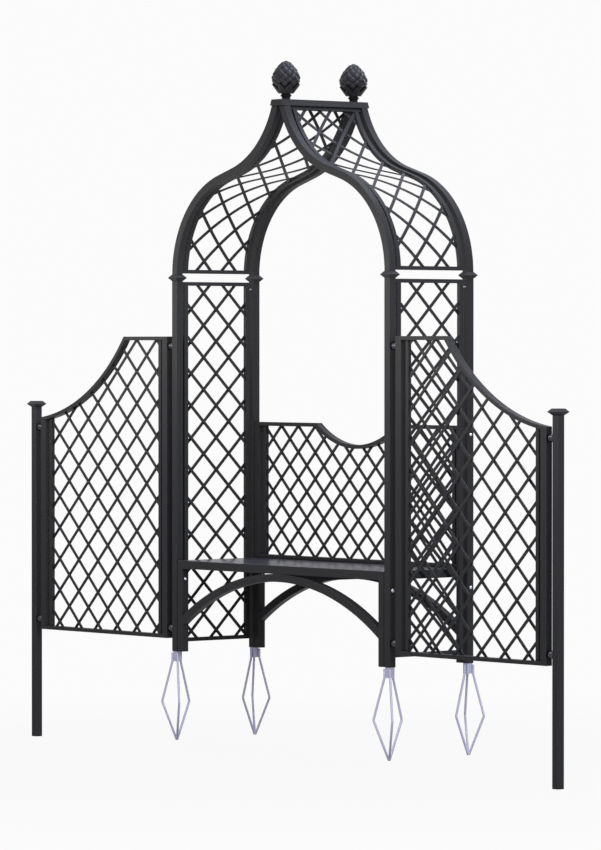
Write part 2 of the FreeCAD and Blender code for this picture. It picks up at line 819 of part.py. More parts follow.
end_post_in = ("end_post_x - post_size / 2 - overcut", "end_post_x")
end_holes = [clear_hole(f"end_post_hole_{level}", end_post_in, "-post_y", height, "stud_diameter")
             for level, height in (("low", "ball_low"), ("high", "ball_far_high"))]
end_plan = (about("end_post_x", "post_size"), about("-post_y", "post_size"))
both_sides("end_post", tube("end_post_right", *end_plan, ("-end_post_depth", "end_post_height"), "z",
                            wall="post_wall", holes=end_holes))
end_centre = ("end_post_x", "-post_y")
end_cap_body = fuse("end_cap_body", [
    frustum("end_cap_skirt_part", end_centre, ("end_cap_low", "end_post_height"),
            [collar_edge] * 2, ["end_cap_width"] * 2),
    frustum("end_cap_top_part", end_centre, ("end_post_height", "end_post_height + end_cap_rise"),
            ["end_cap_width"] * 2, ["end_cap_flat"] * 2),
])
end_cap_hole = block("end_cap_hole", *end_plan, ("end_cap_low - overcut", "end_post_height"))
end_cap = cut("end_cap", end_cap_body, end_cap_hole)
node(group("end_post_caps", [end_cap, mirror("end_cap_left", end_cap, Vector(1, 0, 0))]), "end_post_caps")


# Bench legs, seat rails, braces and seat

leg_x = ("leg_inner", "leg_outer")
front_leg_y = ("bench_front", "bench_front_in")
back_leg_y = ("bench_back_in", "bench_back")
leg_through = ("leg_inner - overcut", "leg_outer + overcut")
leg_hole = clear_hole("leg_hole", leg_through, "-post_y", "bench_bolt_height", "bolt_diameter")
both_sides("bench_front_leg", tube("bench_front_leg_right", leg_x, front_leg_y, ("0", "seat_under"), "z",
                                   foot="foot_plate", holes=[leg_hole]))
upright_holes = [clear_hole(f"upright_hole_{level}", leg_through, "post_y", height, "bolt_diameter")
                 for level, height in (("low", "bench_bolt_height"), ("high", "back_bolt_height"))]
both_sides("bench_back_upright", tube("bench_back_upright_right", leg_x, back_leg_y, ("0", "back_height"),
                                      "z", foot="foot_plate", head="foot_plate", holes=upright_holes))

between_legs = ("-leg_inner", "leg_inner")
seat_rail_z = ("seat_rail_low", "seat_under")
long_rails = [tube(f"seat_rail_{place}", between_legs, span, seat_rail_z, "x")
              for place, span in (("front", front_leg_y), ("back", back_leg_y))]
node(group("bench_long_rails", long_rails), "bench_long_rails")
short_rail = tube("seat_rail_right", leg_x, ("bench_front_in", "bench_back_in"), seat_rail_z, "y")
brace_tie = tube("brace_tie", ("-tie_half", "tie_half"), ("bench_front_in", "bench_back_in"),
                 ("brace_crown", "brace_top"), "y")
node(group("bench_cross_rails", [short_rail, mirror("seat_rail_left", short_rail, Vector(1, 0, 0)), brace_tie]),
     "bench_cross_rails")

node(block("seat_plate", ("-leg_outer", "leg_outer"), ("bench_front", "bench_back_in"),
           ("seat_under", "seat_height")), "seat_plate")


def brace_face(inset, y):
    # An arch-shaped brace: two arcs with one centre, cut upright at the legs.
    half = value("leg_inner")
    crown = value("brace_crown")
    rise = crown - value("brace_foot")
    under = (half ** 2 + rise ** 2) / (2 * rise)
    centre = crown - under
    reach = half + inset
    edges = []
    ends = []
    for radius in (under + inset, under + value("brace_depth") - inset):
        end = centre + math.sqrt(radius ** 2 - reach ** 2)
        edges.append(arc(at(-reach, end, y), at(0, centre + radius, y), at(reach, end, y)))
        ends.append(end)
    for x in (-reach, reach):
        edges.append(line(at(x, ends[0], y), at(x, ends[1], y)))
    return face_of(edges)


def brace(name, y):
    wall = value("frame_wall")
    bore_y = (f"{y[0]} + frame_wall", f"{y[1]} - frame_wall")
    outer = extruded(name + "_outside", brace_face(0.0, value(y[0])), y)
    bore = extruded(name + "_bore", brace_face(wall, value(bore_y[0])), bore_y)
    return node(cut(name, outer, bore), name)


brace("bench_front_brace", front_leg_y)
brace("bench_back_brace", back_leg_y)


# Backrest: a lattice frame between the back uprights with a dip in its top rail

node(tube("backrest_bottom_rail", between_legs, back_leg_y, ("seat_under", "back_rail_top"), "x"),
     "backrest_bottom_rail")
back_stile = tube("back_stile_right", ("back_field", "back_field + stile_width"),
                  about("post_y", "stile_thickness"), ("back_rail_top", "back_head_low"), "z")
node(group("backrest_stiles", [back_stile, mirror("back_stile_left", back_stile, Vector(1, 0, 0))]),
     "backrest_stiles")

dip_radius = (value("dip_half_width") ** 2 + value("dip_depth") ** 2) / (2 * value("dip_depth"))
dip_centre = value("back_height") - value("dip_depth") + dip_radius


def dip_edges(drop, half, y):
    # One edge of the top rail, a drop below its top: level, the dip, level.
    level = value("back_height") - drop
    radius = dip_radius + drop
    corner_x = math.sqrt(radius ** 2 - (dip_centre - level) ** 2)
    return [line(at(-half, level, y), at(-corner_x, level, y)),
            arc(at(-corner_x, level, y), at(0, dip_centre - radius, y), at(corner_x, level, y)),
            line(at(corner_x, level, y), at(half, level, y))]


def dip_face(inset, y):
    half = value("leg_inner") + inset
    upper = dip_edges(inset, half, y)
    lower = dip_edges(value("rail_height") - inset, half, y)
    ends = [line(upper[0].firstVertex().Point, lower[0].firstVertex().Point),
            line(upper[-1].lastVertex().Point, lower[-1].lastVertex().Point)]
    return face_of(upper + lower + ends)


def back_top_rail():
    wall = value("frame_wall")
    bore_y = (f"{back_leg_y[0]} + frame_wall", f"{back_leg_y[1]} - frame_wall")
    outer = extruded("back_top_outside", dip_face(0.0, value(back_leg_y[0])), back_leg_y)
    bore = extruded("back_top_bore", dip_face(wall, value(bore_y[0])), bore_y)
    return cut("backrest_top_rail", outer, bore)


node(back_top_rail(), "backrest_top_rail")


def back_lattice():
    y = value("post_y")
    half = value("back_field")
    low = value("back_rail_top")
    high = value("back_head_low")
    edges = dip_edges(value("rail_height"), half, y)
    edges += [line(at(-half, high, y), at(-half, low, y)), line(at(-half, low, y), at(half, low, y)),
              line(at(half, low, y), at(half, high, y))]
    cross = (0.0, low + value("back_cross_rise"))
    return flat_lattice("backrest_lattice", face_of(edges), Vector(0, -1, 0), lambda x, z: at(x, z, y),
                        (-half, half), (low, high), cross, value("back_pitch"))


node(back_lattice(), "backrest_lattice")


# Ground anchors: a square spigot in each arch post with three bent rods below

def bent_path(points, radius):
    # Straight runs joined by tangent arcs of one radius.
    edges = []
    start = points[0]
    for before, corner_point, after in zip(points, points[1:], points[2:]):
        back = (before - corner_point).normalize()
        ahead = (after - corner_point).normalize()
        half_angle = back.getAngle(ahead) / 2
        trim = radius / math.tan(half_angle)
        middle_way = (back + ahead).normalize()
        middle = corner_point + middle_way * (radius / math.sin(half_angle) - radius)
        edges.append(line(start, corner_point + back * trim))
        edges.append(arc(corner_point + back * trim, middle, corner_point + ahead * trim))
        start = corner_point + ahead * trim
    edges.append(line(start, points[-1]))
    return Part.Wire(edges)


def anchor_rods():
    # Two rods lie on the spigot's left and right sides and one on its inner side, so their
    # circle stands a little in front of the post's axis.
    centre = Vector(value("post_x"), -value("post_y") - value("anchor_shift"), 0)
    half_rod = value("anchor_rod") / 2
    touch = value("spigot_size") / 2 + half_rod - value("anchor_rod_sink")
    root = touch / math.cos(math.radians(30))
    rods = []
    for direction in (90, 210, 330):
        out = Vector(math.cos(math.radians(direction)), math.sin(math.radians(direction)), 0)
        stops = ((root, -value("anchor_rod_top")), (root, -value("anchor_drop")),
                 (value("anchor_spread"), -value("anchor_spread_drop")),
                 (value("anchor_tip"), -value("anchor_tip_drop")))
        path = bent_path([centre + out * reach + Vector(0, 0, height) for reach, height in stops],
                         value("anchor_bend"))
        start = path.Edges[0].firstVertex().Point
        section = Part.Wire(Part.makeCircle(half_rod, start, Vector(0, 0, -1)))
        rods.append(path.makePipeShell([section], True, False))
    return rods


anchor_spigot = tube("anchor_spigot", about("post_x", "spigot_size"), about("-post_y", "spigot_size"),
                     ("-anchor_drop", "anchor_insert"), "z")
anchor_parts = [anchor_spigot] + [solid(f"anchor_rod_{number}", rod)
                                  for number, rod in enumerate(anchor_rods(), start=1)]
anchor = node(fuse("ground_anchor_front_right", anchor_parts), "ground_anchor_front_right")
node(mirror("ground_anchor_front_left", anchor, Vector(1, 0, 0)), "ground_anchor_front_left")
back_anchor = node(mirror("ground_anchor_back_right", anchor, Vector(0, 1, 0)), "ground_anchor_back_right")
node(mirror("ground_anchor_back_left", back_anchor, Vector(1, 0, 0)), "ground_anchor_back_left")


# Ball spacers and their studs, two in each gap beside a wing

near_gap = ("post_outer_x", "wing_near")
far_gap = ("wing_far", "wing_far + wing_gap")
spacer_places = [(near_gap, "ball_low"), (near_gap, "ball_near_high"), (far_gap, "ball_low"),
                 (far_gap, "ball_far_high")]


def ball_spacer(name, gap, height):
    # A ball with a short neck against each tube and a hole for its stud.
    low, high = value(gap[0]), value(gap[1])
    y, axis_z = -value("post_y"), value(height)
    start, end = low + value("ball_neck_length"), high - value("ball_neck_length")
    neck_radius = value("ball_neck_diameter") / 2
    ball_radius = math.hypot((end - start) / 2, neck_radius)
    neck = axis_z + neck_radius
    bore = axis_z + value("stud_diameter / 2 + hole_clearance / 2")
    edges = [line(at(low, neck, y), at(start, neck, y)),
             arc(at(start, neck, y), at((low + high) / 2, axis_z + ball_radius, y), at(end, neck, y)),
             line(at(end, neck, y), at(high, neck, y)), line(at(high, neck, y), at(high, bore, y)),
             line(at(high, bore, y), at(low, bore, y)), line(at(low, bore, y), at(low, neck, y))]
    piece = doc.addObject("Part::Revolution", name)
    piece.Source = solid(name + "_profile", face_of(edges))
    piece.Axis = Vector(1, 0, 0)
    piece.setExpression("Base.y", formula("-post_y"))
    piece.setExpression("Base.z", formula(height))
    piece.Angle = 360
    piece.Solid = True
    return piece


balls = []
studs = []
for number, (gap, height) in enumerate(spacer_places, start=1):
    balls.append(ball_spacer(f"spacer_{number}", gap, height))
    stud_span = (f"{gap[0]} - stud_grip", f"{gap[1]} + stud_grip")
    studs.append(round_bar(f"stud_{number}", stud_span, "-post_y", height, "stud_diameter / 2"))


def mirrored_group(name, pieces):
    right = group(name + "_right", pieces)
    return node(group(name, [right, mirror(name + "_left", right, Vector(1, 0, 0))]), name)


mirrored_group("ball_spacers", balls)
mirrored_group("spacer_studs", studs)


# Bolts that hold the bench to the posts, and the spacer bolts of the side panels

def bolt_end(name, x, y, z, turn):
    # A domed head or cap nut that narrows away from the face it sits on.
    piece = doc.addObject("Part::Cone", name)
    piece.Placement = Placement(Vector(), Rotation(Vector(0, 1, 0), turn))
    piece.setExpression("Radius1", formula("bolt_head / 2"))
    piece.setExpression("Radius2", formula("bolt_head_top / 2"))
    piece.setExpression("Height", formula("bolt_head_height"))
    for axis, where in zip("xyz", (x, y, z)):
        piece.setExpression("Placement.Base." + axis, formula(where))
    return piece


def bolt(name, x, y, z, nut=True):
    ends = [bolt_end(name + "_head", x[1], y, z, 90)]
    if nut:
        ends.append(bolt_end(name + "_nut", x[0], y, z, -90))
    return fuse(name, [round_bar(name + "_shank", x, y, z, "bolt_diameter / 2")] + ends)


def washer(name, y, z):
    # Fills the gap between a post and a bench leg around the bolt.
    gap = ("leg_outer", "post_inner_x")
    ring = round_bar(name + "_ring", gap, y, z, "washer_diameter / 2")
    return cut(name, ring, clear_hole(name + "_hole", ("leg_outer - overcut", "post_inner_x + overcut"), y, z,
                                      "bolt_diameter"))


bolts = []
bench_grip = ("leg_inner", "post_outer_x")
rest_grip = ("leg_outer - stud_grip", "post_outer_x")
for name, grip, y, z in (("front_bolt", bench_grip, "-post_y", "bench_bolt_height"),
                         ("back_bolt", bench_grip, "post_y", "bench_bolt_height"),
                         ("rest_bolt", rest_grip, "post_y", "back_bolt_height")):
    bolts.append(bolt(name, grip, y, z, nut=grip is bench_grip))
    bolts.append(washer(name + "_washer", y, z))
panel_slot = ("side_stile_y", "post_inner_y")
panel_grip = ("side_stile_y - frame_wall", "post_inner_y + post_wall")
bolts.append(fuse("panel_spacer", [
    round_bar("panel_sleeve", "post_x", panel_slot, "panel_spacer_height", "panel_spacer_diameter / 2"),
    round_bar("panel_shank", "post_x", panel_grip, "panel_spacer_height", "bolt_diameter / 2"),
]))
mirrored_group("fixing_bolts", bolts)


# Check every piece, then write one file for each

doc.recompute()
for piece in doc.Objects:
    if {"Invalid", "Error"} & set(piece.State):
        raise RuntimeError(f"{piece.Label} failed: {piece.State}")
os.makedirs("parts", exist_ok=True)
for piece in nodes:
    if piece.Shape.isNull() or not piece.Shape.isValid() or not piece.Shape.Solids:
        raise RuntimeError(f"{piece.Label} has no valid solid")
for piece in nodes:
    piece.Shape.exportStep(f"parts/{piece.Label}.step")
    print(f"{piece.Label}: {len(piece.Shape.Solids)} solids, {piece.Shape.Volume / 1000:.1f} cm3")
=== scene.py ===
import math

import bmesh
import bpy
from mathutils import Matrix, Vector


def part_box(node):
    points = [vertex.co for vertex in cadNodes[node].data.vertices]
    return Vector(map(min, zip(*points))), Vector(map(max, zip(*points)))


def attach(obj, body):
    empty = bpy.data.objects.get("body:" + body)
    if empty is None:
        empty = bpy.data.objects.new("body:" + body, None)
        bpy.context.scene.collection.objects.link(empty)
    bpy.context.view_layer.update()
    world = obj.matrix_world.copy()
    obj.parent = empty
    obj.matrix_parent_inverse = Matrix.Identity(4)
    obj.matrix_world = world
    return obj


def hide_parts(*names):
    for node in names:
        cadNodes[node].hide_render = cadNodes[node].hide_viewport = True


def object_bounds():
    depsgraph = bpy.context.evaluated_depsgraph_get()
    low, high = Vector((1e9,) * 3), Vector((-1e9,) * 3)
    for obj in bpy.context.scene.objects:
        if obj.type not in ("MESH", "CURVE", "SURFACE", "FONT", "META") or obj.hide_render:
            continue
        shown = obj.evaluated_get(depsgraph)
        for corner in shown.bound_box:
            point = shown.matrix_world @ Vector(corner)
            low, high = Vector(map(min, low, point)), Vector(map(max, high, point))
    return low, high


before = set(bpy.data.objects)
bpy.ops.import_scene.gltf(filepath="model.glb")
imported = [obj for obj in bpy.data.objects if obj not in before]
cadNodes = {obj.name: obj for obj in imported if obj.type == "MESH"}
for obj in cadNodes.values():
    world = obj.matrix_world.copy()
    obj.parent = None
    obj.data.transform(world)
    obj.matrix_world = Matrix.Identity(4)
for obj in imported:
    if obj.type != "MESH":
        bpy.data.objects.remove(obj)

cadLow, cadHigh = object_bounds()
mm = 0.001
print("frame loaded:", len(cadNodes), "nodes")


# Shader node groups shared by the finishes

floatSocket = "NodeSocketFloat"
colorSocket = "NodeSocketColor"
plainCoat = (0.03, 0.03, 0.035, 1)  # what a group's Color holds while it is unwired
mixFactor, mixFirst, mixSecond, mixResult = 0, 6, 7, 2  # a Mix node's sockets for colours


def addNode(tree, kind, **settings):
    node = tree.nodes.new(kind)
    for name, setting in settings.items():
        if name in node.inputs:
            node.inputs[name].default_value = setting
        else:
            setattr(node, name, setting)
    return node


def wire(tree, start, startSocket, end, endSocket):
    tree.links.new(start.outputs[startSocket], end.inputs[endSocket])


def feed(tree, item, socket):
    # wires a node's output to the socket, or sets the socket to a plain value
    if isinstance(item, bpy.types.NodeSocket):
        tree.links.new(item, socket)
    else:
        socket.default_value = item


def newGroup(name, inputs, outputs):
    tree = bpy.data.node_groups.new(name, "ShaderNodeTree")
    for label, (kind, default) in inputs.items():
        socket = tree.interface.new_socket(name=label, in_out="INPUT", socket_type=kind)
        socket.default_value = default
    for label, kind in outputs.items():
        tree.interface.new_socket(name=label, in_out="OUTPUT", socket_type=kind)
    return tree, tree.nodes.new("NodeGroupInput"), tree.nodes.new("NodeGroupOutput")


def mathNode(tree, operation, first, second, clamp=False):
    node = addNode(tree, "ShaderNodeMath", operation=operation, use_clamp=clamp)
    feed(tree, first, node.inputs[0])
    feed(tree, second, node.inputs[1])
    return node.outputs[0]


def aroundZero(tree, noise, reach):
    # moves a 0 to 1 noise to both sides of zero and scales it
    return mathNode(tree, "MULTIPLY", mathNode(tree, "SUBTRACT", noise, 0.5), reach)


def mixColors(tree, factor, first, second):
    node = addNode(tree, "ShaderNodeMix", data_type="RGBA")
    feed(tree, factor, node.inputs[mixFactor])
    feed(tree, first, node.inputs[mixFirst])
    feed(tree, second, node.inputs[mixSecond])
    return node.outputs[mixResult]


def noiseTexture(tree, scale, detail=2.0, roughness=0.5):
    coords = addNode(tree, "ShaderNodeTexCoord")
    noise = addNode(tree, "ShaderNodeTexNoise", Detail=detail, Roughness=roughness)
    wire(tree, coords, "Object", noise, "Vector")
    feed(tree, scale, noise.inputs["Scale"])
    return noise.outputs["Fac"]


def layOver(tree, source, result, layer, mask):
    # puts a second colour over the coat where the mask is, and hands the mask on
    color = mixColors(tree, mask, source.outputs["Color"], source.outputs[layer])
    feed(tree, color, result.inputs["Color"])
    feed(tree, mask, result.inputs["Mask"])


def coatGrainGroup():
    # orange peel of a baked powder coat, with slow cloudy changes of shade
    tree, source, result = newGroup(
        "coatGrain",
        {"Color": (colorSocket, plainCoat), "Peel Scale": (floatSocket, 900.0),
         "Cloud Scale": (floatSocket, 5.0), "Contrast": (floatSocket, 0.25),
         "Roughness": (floatSocket, 0.42), "Roughness Spread": (floatSocket, 0.08)},
        {"Color": colorSocket, "Roughness": floatSocket, "Height": floatSocket})
    peel = noiseTexture(tree, source.outputs["Peel Scale"], detail=1.0)
    cloud = noiseTexture(tree, source.outputs["Cloud Scale"], detail=4.0, roughness=0.6)
    shade = aroundZero(tree, cloud, source.outputs["Contrast"])
    fine = aroundZero(tree, peel, source.outputs["Contrast"])
    gain = mathNode(tree, "ADD", mathNode(tree, "ADD", shade, fine), 1.0)
    scaled = addNode(tree, "ShaderNodeVectorMath", operation="SCALE")
    wire(tree, source, "Color", scaled, 0)
    feed(tree, gain, scaled.inputs["Scale"])
    wire(tree, scaled, 0, result, "Color")
    drift = aroundZero(tree, cloud, source.outputs["Roughness Spread"])
    roughness = mathNode(tree, "ADD", source.outputs["Roughness"], drift)
    feed(tree, roughness, result.inputs["Roughness"])
    feed(tree, peel, result.inputs["Height"])
    return tree


def edgeWearAndHighlightGroup():
    # lighter edges, where a rounded normal leaves the true one: partly a worn, thinner coat in
    # scuffed patches and partly a painted highlight along the edges
    edgeGain, scuffScale = 6.0, 55.0
    tree, source, result = newGroup(
        "edgeWearAndHighlight",
        {"Color": (colorSocket, plainCoat), "Wear Color": (colorSocket, (0.09, 0.09, 0.1, 1)),
         "Radius": (floatSocket, 0.003), "Amount": (floatSocket, 0.5)},
        {"Color": colorSocket, "Mask": floatSocket})
    bevel = addNode(tree, "ShaderNodeBevel", samples=4)
    wire(tree, source, "Radius", bevel, "Radius")
    geometry = addNode(tree, "ShaderNodeNewGeometry")
    dot = addNode(tree, "ShaderNodeVectorMath", operation="DOT_PRODUCT")
    wire(tree, bevel, "Normal", dot, 0)
    wire(tree, geometry, "Normal", dot, 1)
    turned = mathNode(tree, "SUBTRACT", 1.0, dot.outputs["Value"])
    edge = mathNode(tree, "MULTIPLY", turned, edgeGain, clamp=True)
    scuffed = mathNode(tree, "MULTIPLY", edge, noiseTexture(tree, scuffScale, detail=4.0))
    mask = mathNode(tree, "MULTIPLY", scuffed, source.outputs["Amount"], clamp=True)
    layOver(tree, source, result, "Wear Color", mask)
    return tree


def settledDustGroup():
    # a thin haze of dust on what faces up
    upwardPower = 3.0
    tree, source, result = newGroup(
        "settledDust",
        {"Color": (colorSocket, plainCoat), "Dust Color": (colorSocket, (0.16, 0.16, 0.17, 1)),
         "Amount": (floatSocket, 0.15), "Patch Scale": (floatSocket, 12.0)},
        {"Color": colorSocket, "Mask": floatSocket})
    geometry = addNode(tree, "ShaderNodeNewGeometry")
    split = addNode(tree, "ShaderNodeSeparateXYZ")
    wire(tree, geometry, "Normal", split, 0)
    upward = mathNode(tree, "MAXIMUM", split.outputs["Z"], 0.0)
    facing = mathNode(tree, "POWER", upward, upwardPower)
    patch = noiseTexture(tree, source.outputs["Patch Scale"], detail=5.0, roughness=0.65)
    settled = mathNode(tree, "MULTIPLY", facing, patch)
    mask = mathNode(tree, "MULTIPLY", settled, source.outputs["Amount"], clamp=True)
    layOver(tree, source, result, "Dust Color", mask)
    return tree


def paintedShadeGroup():
    # painted shade: a near-black colour laid over the base colour in the hollows, slots and creases
    # between raised shapes, as far as ambient occlusion finds them
    shutPower = 0.8
    tree, source, result = newGroup(
        "paintedShade",
        {"Color": (colorSocket, plainCoat), "Recess Color": (colorSocket, (0.004, 0.004, 0.005, 1)),
         "Reach": (floatSocket, 0.012), "Amount": (floatSocket, 1.0)},
        {"Color": colorSocket, "Mask": floatSocket})
    exposure = addNode(tree, "ShaderNodeAmbientOcclusion", samples=8)
    wire(tree, source, "Reach", exposure, "Distance")
    covered = mathNode(tree, "SUBTRACT", 1.0, exposure.outputs["AO"], clamp=True)
    shut = mathNode(tree, "POWER", covered, shutPower)
    mask = mathNode(tree, "MULTIPLY", shut, source.outputs["Amount"], clamp=True)
    layOver(tree, source, result, "Recess Color", mask)
    return tree


def zincSpangleGroup():
    # frosty crystals of a hot-dip zinc coat, half crystal and half cloud
    cloudScale, crystalShare = 30.0, 0.5
    tree, source, result = newGroup(
        "zincSpangle",
        {"Light Color": (colorSocket, (0.6, 0.6, 0.75, 1)),
         "Dark Color": (colorSocket, (0.4, 0.4, 0.52, 1)), "Crystal Scale": (floatSocket, 160.0),
         "Roughness": (floatSocket, 0.45), "Roughness Spread": (floatSocket, 0.2)},
        {"Color": colorSocket, "Roughness": floatSocket, "Height": floatSocket})
    coords = addNode(tree, "ShaderNodeTexCoord")
    crystals = addNode(tree, "ShaderNodeTexVoronoi", feature="F1")
    wire(tree, coords, "Object", crystals, "Vector")
    wire(tree, source, "Crystal Scale", crystals, "Scale")
    split = addNode(tree, "ShaderNodeSeparateColor")
    wire(tree, crystals, "Color", split, 0)
    cloud = noiseTexture(tree, cloudScale, detail=4.0)
    shade = mathNode(tree, "ADD", mathNode(tree, "MULTIPLY", split.outputs["Red"], crystalShare),
                     mathNode(tree, "MULTIPLY", cloud, 1 - crystalShare))
    color = mixColors(tree, shade, source.outputs["Dark Color"], source.outputs["Light Color"])
    feed(tree, color, result.inputs["Color"])
    spread = aroundZero(tree, split.outputs["Green"], source.outputs["Roughness Spread"])
    roughness = mathNode(tree, "ADD", source.outputs["Roughness"], spread)
    feed(tree, roughness, result.inputs["Roughness"])
    wire(tree, crystals, "Distance", result, "Height")
    return tree


coatGrain = coatGrainGroup()
edgeWearAndHighlight = edgeWearAndHighlightGroup()
settledDust = settledDustGroup()
paintedShade = paintedShadeGroup()
zincSpangle = zincSpangleGroup()
print("shader groups ready")


# Finishes

def newMaterial(name):
    material = bpy.data.materials.new(name)
    material.use_nodes = True
    tree = material.node_tree
    return material, tree, tree.nodes["Principled BSDF"]


def placeGroup(tree, group, **values):
    node = addNode(tree, "ShaderNodeGroup", node_tree=group)
    for label, setting in values.items():
        node.inputs[label.replace("_", " ")].default_value = setting
    return node


def addBump(tree, shader, height, look):
    bump = addNode(tree, "ShaderNodeBump", Strength=look["bumpStrength"],
                   Distance=look["bumpDepth"])
    feed(tree, height, bump.inputs["Height"])
    wire(tree, bump, "Normal", shader, "Normal")


def coatMaterial(name, look):
    material, tree, shader = newMaterial(name)
    grain = placeGroup(tree, coatGrain, Color=look["color"], Peel_Scale=look["peelScale"],
                       Cloud_Scale=look["cloudScale"], Contrast=look["contrast"],
                       Roughness=look["roughness"], Roughness_Spread=look["roughnessSpread"])
    # lighter edges: worn coat and a painted highlight along them
    wearAndHighlight = placeGroup(tree, edgeWearAndHighlight, Wear_Color=look["wearAndHighlightColor"], Radius=look["wearAndHighlightRadius"],
                      Amount=look["wearAndHighlightAmount"])
    dust = placeGroup(tree, settledDust, Dust_Color=look["dustColor"], Amount=look["dustAmount"],
                      Patch_Scale=look["dustScale"])
    # painted shade in the hollows, laid over the dust
    shadeLayer = placeGroup(tree, paintedShade, Recess_Color=look["paintedShadeColor"],
                        Reach=look["paintedShadeReach"], Amount=look["paintedShadeAmount"])
    for under, over in ((grain, wearAndHighlight), (wearAndHighlight, dust), (dust, shadeLayer)):
        wire(tree, under, "Color", over, "Color")
    wire(tree, shadeLayer, "Color", shader, "Base Color")
    dulling = mathNode(tree, "MULTIPLY", dust.outputs["Mask"], look["dustDulling"])
    dulled = mathNode(tree, "ADD", grain.outputs["Roughness"], dulling, clamp=True)
    feed(tree, dulled, shader.inputs["Roughness"])
    shader.inputs["Specular IOR Level"].default_value = look["specular"]
    shader.inputs["Coat Weight"].default_value = look["coat"]
    shader.inputs["Coat Roughness"].default_value = look["coatRoughness"]
    addBump(tree, shader, grain.outputs["Height"], look)
    return material


frameLook = {
    "color": (0.034, 0.034, 0.0365, 1), "peelScale": 750.0, "cloudScale": 4.0, "contrast": 0.16,
    "roughness": 0.42, "roughnessSpread": 0.08, "specular": 0.07,
    "coat": 0.0, "coatRoughness": 0.2, "bumpStrength": 0.08, "bumpDepth": 0.0003,
    # lighter edges: worn coat and a painted highlight along them
    "wearAndHighlightColor": (0.11, 0.11, 0.12, 1), "wearAndHighlightRadius": 0.003, "wearAndHighlightAmount": 0.7,
    "dustColor": (0.1, 0.1, 0.115, 1), "dustAmount": 0.15, "dustScale": 9.0, "dustDulling": 0.2,
    # painted shade: near-black colour in slots, corners and hollows, its reach and its strength
    "paintedShadeColor": (0.003, 0.003, 0.0035, 1), "paintedShadeReach": 0.012, "paintedShadeAmount": 1.1,
}
seatLook = dict(
    frameLook, color=(0.034, 0.034, 0.045, 1), cloudScale=7.0, contrast=0.06,
    roughness=0.5, roughnessSpread=0.03, specular=0.02, coat=0.34, coatRoughness=0.17,
    bumpStrength=0.005, dustAmount=0.02)
# the finials' casting: strong painted shade darkens the crevices between its scales
castLook = dict(
    frameLook, color=(0.024, 0.0235, 0.0275, 1), peelScale=420.0, contrast=0.15,
    # edge wear and painted highlight are kept weak on the casting
    roughness=0.34, specular=0.13, bumpStrength=0.01, wearAndHighlightColor=(0.085, 0.085, 0.105, 1),
    wearAndHighlightAmount=0.15, dustAmount=0.05, paintedShadeColor=(0.002, 0.002, 0.002, 1),
    paintedShadeReach=0.016, paintedShadeAmount=1.6)


def zincMaterial(name, look):
    material, tree, shader = newMaterial(name)
    spangle = placeGroup(tree, zincSpangle, Light_Color=look["light"], Dark_Color=look["dark"],
                         Crystal_Scale=look["crystalScale"], Roughness=look["roughness"],
                         Roughness_Spread=look["roughnessSpread"])
    wire(tree, spangle, "Color", shader, "Base Color")
    wire(tree, spangle, "Roughness", shader, "Roughness")
    shader.inputs["Metallic"].default_value = look["metallic"]
    addBump(tree, shader, spangle.outputs["Height"], look)
    return material


zincLook = {
    "light": (0.6, 0.59, 0.77, 1), "dark": (0.55, 0.54, 0.71, 1), "crystalScale": 170.0,
    "roughness": 0.5, "roughnessSpread": 0.06, "metallic": 0.2,
    "bumpStrength": 0.01, "bumpDepth": 0.0005,
}
ballLook = dict(
    zincLook, light=(0.056, 0.054, 0.063, 1), dark=(0.048, 0.046, 0.054, 1), crystalScale=420.0,
    roughness=0.045, roughnessSpread=0.02, metallic=1.0)
boltLook = dict(
    zincLook, light=(0.75, 0.74, 0.85, 1), dark=(0.6, 0.59, 0.69, 1), crystalScale=300.0,
    roughness=0.3, metallic=0.9)

frameCoat = coatMaterial("frameCoat", frameLook)
seatCoat = coatMaterial("seatCoat", seatLook)
finialCasting = coatMaterial("finialCasting", castLook)
galvanised = zincMaterial("galvanised", zincLook)
polishedSteel = zincMaterial("polishedSteel", ballLook)
boltZinc = zincMaterial("boltZinc", boltLook)
print("finishes ready")


# Helpers for the pieces

cadJoin = {"weld": 0.005, "flatAngle": 0.1}  # mm and degrees within which CAD triangles join


def finishPiece(name, mesh, material, standsFor, smoothAngle=40.0):
    data = bpy.data.meshes.new(name)
    mesh.to_mesh(data)
    mesh.free()
    data.materials.append(material)
    data.shade_smooth()
    data.set_sharp_from_angle(angle=math.radians(smoothAngle))
    piece = bpy.data.objects.new(name, data)
    bpy.context.scene.collection.objects.link(piece)
    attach(piece, "root")
    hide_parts(*standsFor)
    return piece


def cleanMesh(nodeName):
    # the node's own surface with its triangles joined into flat faces
    mesh = bmesh.new()
    mesh.from_mesh(cadNodes[nodeName].data)
    bmesh.ops.remove_doubles(mesh, verts=mesh.verts, dist=cadJoin["weld"] * mm)
    bmesh.ops.dissolve_limit(mesh, angle_limit=math.radians(cadJoin["flatAngle"]),
                             verts=mesh.verts, edges=mesh.edges)
    return mesh


def looseBoxes(nodeName):
    # the lowest and highest corner of each separate solid in a node
    mesh = cleanMesh(nodeName)
    waiting = set(mesh.verts)
    boxes = []
    while waiting:
        queue = [waiting.pop()]
        corners = []
        while queue:
            vert = queue.pop()
            corners.append(vert.co.copy())
            for edge in vert.link_edges:
                other = edge.other_vert(vert)
                if other in waiting:
                    waiting.discard(other)
                    queue.append(other)
        low = Vector([min(corner[axis] for corner in corners) for axis in range(3)])
        high = Vector([max(corner[axis] for corner in corners) for axis in range(3)])
        boxes.append((low, high))
    mesh.free()
    # in the same order each run
    return sorted(boxes, key=lambda box: tuple(round(number, 4) for number in box[0]))


def fullTurn(steps):
    return [2 * math.pi * step / steps for step in range(steps)]


def onRing(radius, turn, height):
    return Vector((radius * math.cos(turn), radius * math.sin(turn), height))


